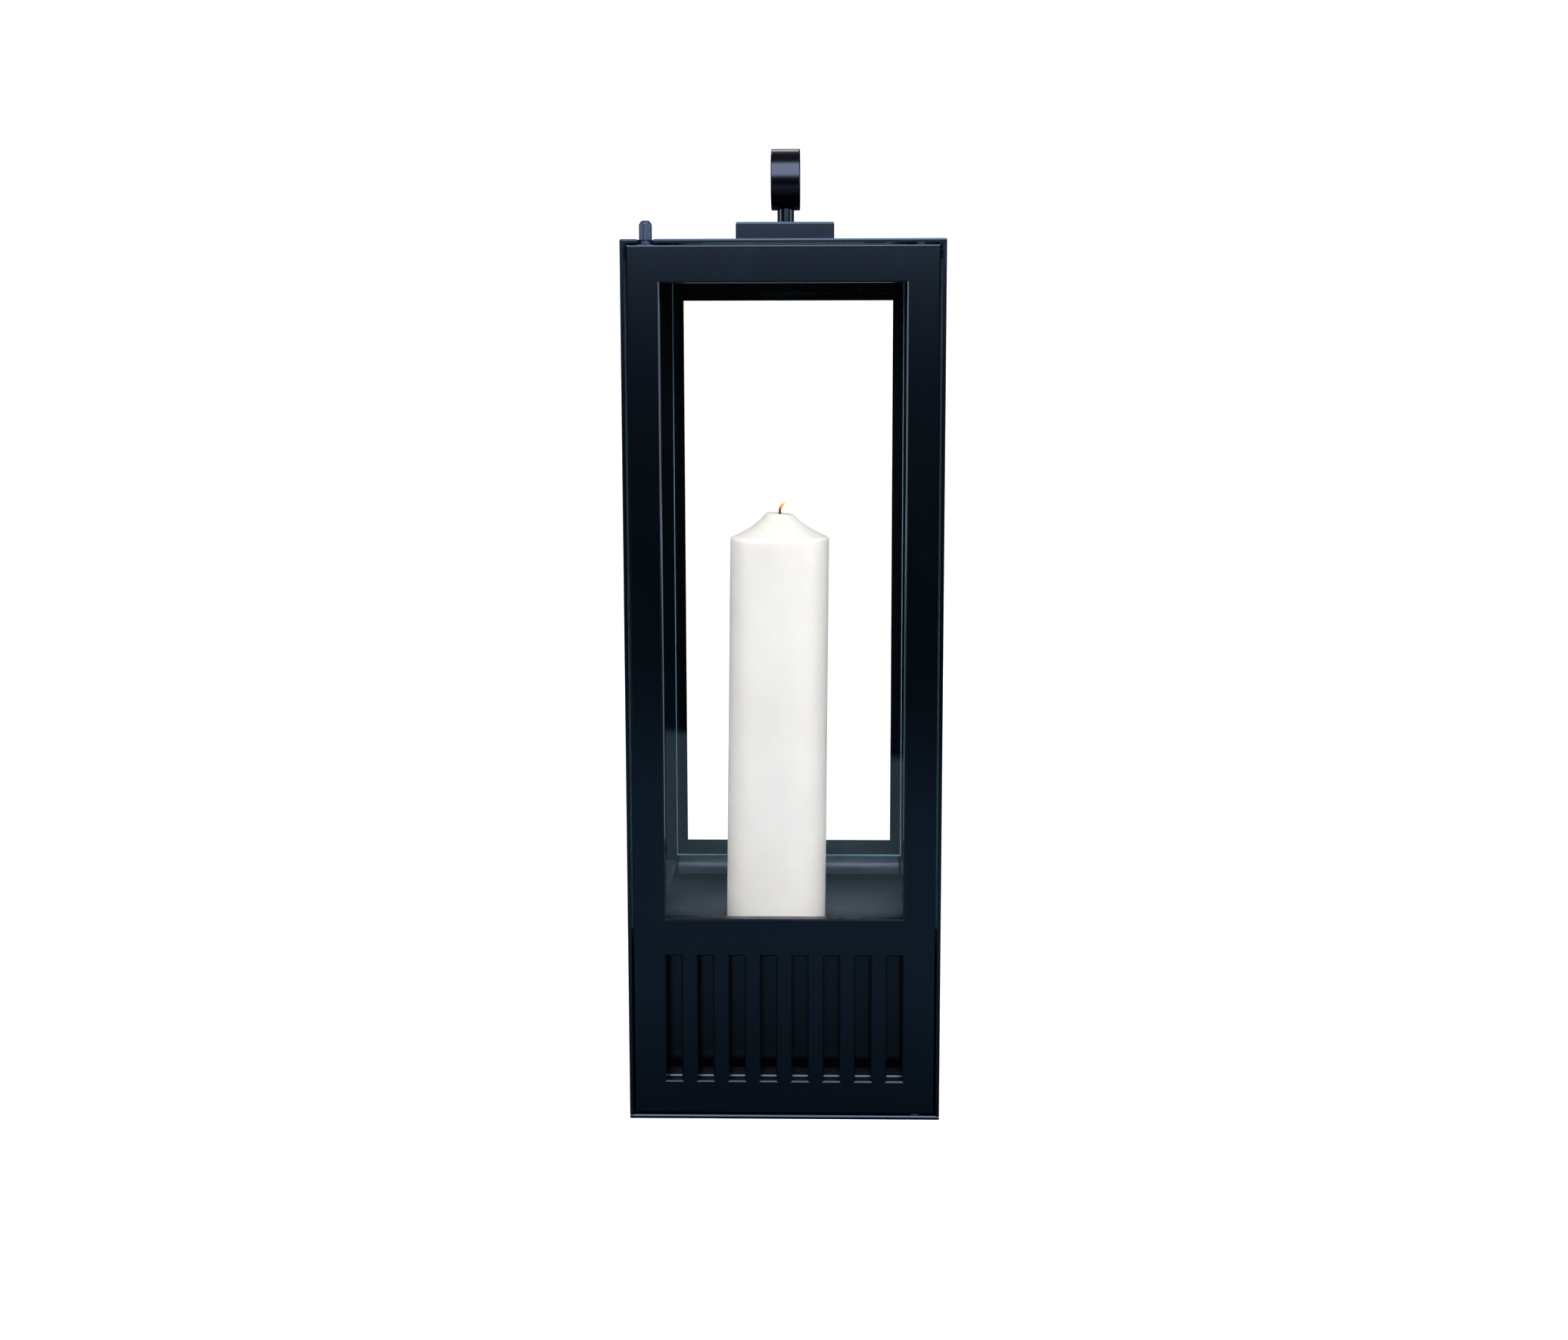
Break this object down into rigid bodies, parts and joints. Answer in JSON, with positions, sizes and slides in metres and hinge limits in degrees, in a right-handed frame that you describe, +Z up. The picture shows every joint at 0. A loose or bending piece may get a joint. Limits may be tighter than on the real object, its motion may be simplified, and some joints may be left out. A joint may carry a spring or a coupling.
{
  "type": "candle lantern",
  "caption": "Tall square lantern of dark coated sheet with glazed windows, a slotted pivot door with a pull pin, a pillar candle on a raised shelf, a vent hood and a swivel ring handle.",
  "frame": {"origin": "middle of the lantern's underside", "axes": "+Z up through the ring handle, -Y towards the door, +X towards the door's pivots"},
  "size_m": [0.25, 0.25, 0.784],
  "materials": {
    "dark_coat": "satin blue-black powder coat on aluminium",
    "pin_metal": "satin grey-blue anodised aluminium",
    "bare_aluminium": "turned",
    "glass": "clear float glass",
    "steel": "zinc plated",
    "nickel": "nickel plated",
    "nylon": "moulded",
    "wax": "smooth ivory wax",
    "cotton": "braided wick"
  },
  "bodies": {
    "case": {"back_clip_nuts": "steel", "back_clips": "dark_coat", "back_ledge": "dark_coat", "back_pane": "glass", "back_panel": "dark_coat", "bottom_plate": "dark_coat", "candle": "wax", "candle_shelf": "dark_coat", "cap_hood": "dark_coat", "cap_nuts": "steel", "cap_spacers": "bare_aluminium", "catch_block": "nylon", "catch_magnet": "nickel", "left_clip_nuts": "steel", "left_clips": "dark_coat", "left_ledge": "dark_coat", "left_pane": "glass", "left_panel": "dark_coat", "pivot_washer_bottom": "nylon", "right_clip_nuts": "steel", "right_clips": "dark_coat", "right_ledge": "dark_coat", "right_pane": "glass", "right_panel": "dark_coat", "top_plate": "dark_coat", "wick": "cotton"},
    "door": {"door_panel": "dark_coat", "door_pane": "glass", "door_ledge": "dark_coat", "door_clips": "dark_coat", "door_clip_nuts": "steel", "pull_pin": "pin_metal", "pivot_pin_top": "steel", "pivot_pin_bottom": "steel", "pivot_washer_top": "nylon", "strike_plate": "steel"},
    "ring": {"ring_handle": "dark_coat", "handle_collar": "dark_coat", "handle_screw": "steel", "handle_washer": "steel", "handle_nut": "steel"}
  },
  "joints": [
    {"name": "door_hinge", "type": "hinge", "parent": "case", "child": "door", "pos_m": [0.1053, -0.12, 0], "axis": [0, 0, 1], "range_deg": [0, 140]},
    {"name": "ring_swivel", "type": "hinge", "parent": "case", "child": "ring", "pos_m": [0, 0, 0.721], "axis": [0, 0, 1], "continuous": true}
  ]
}
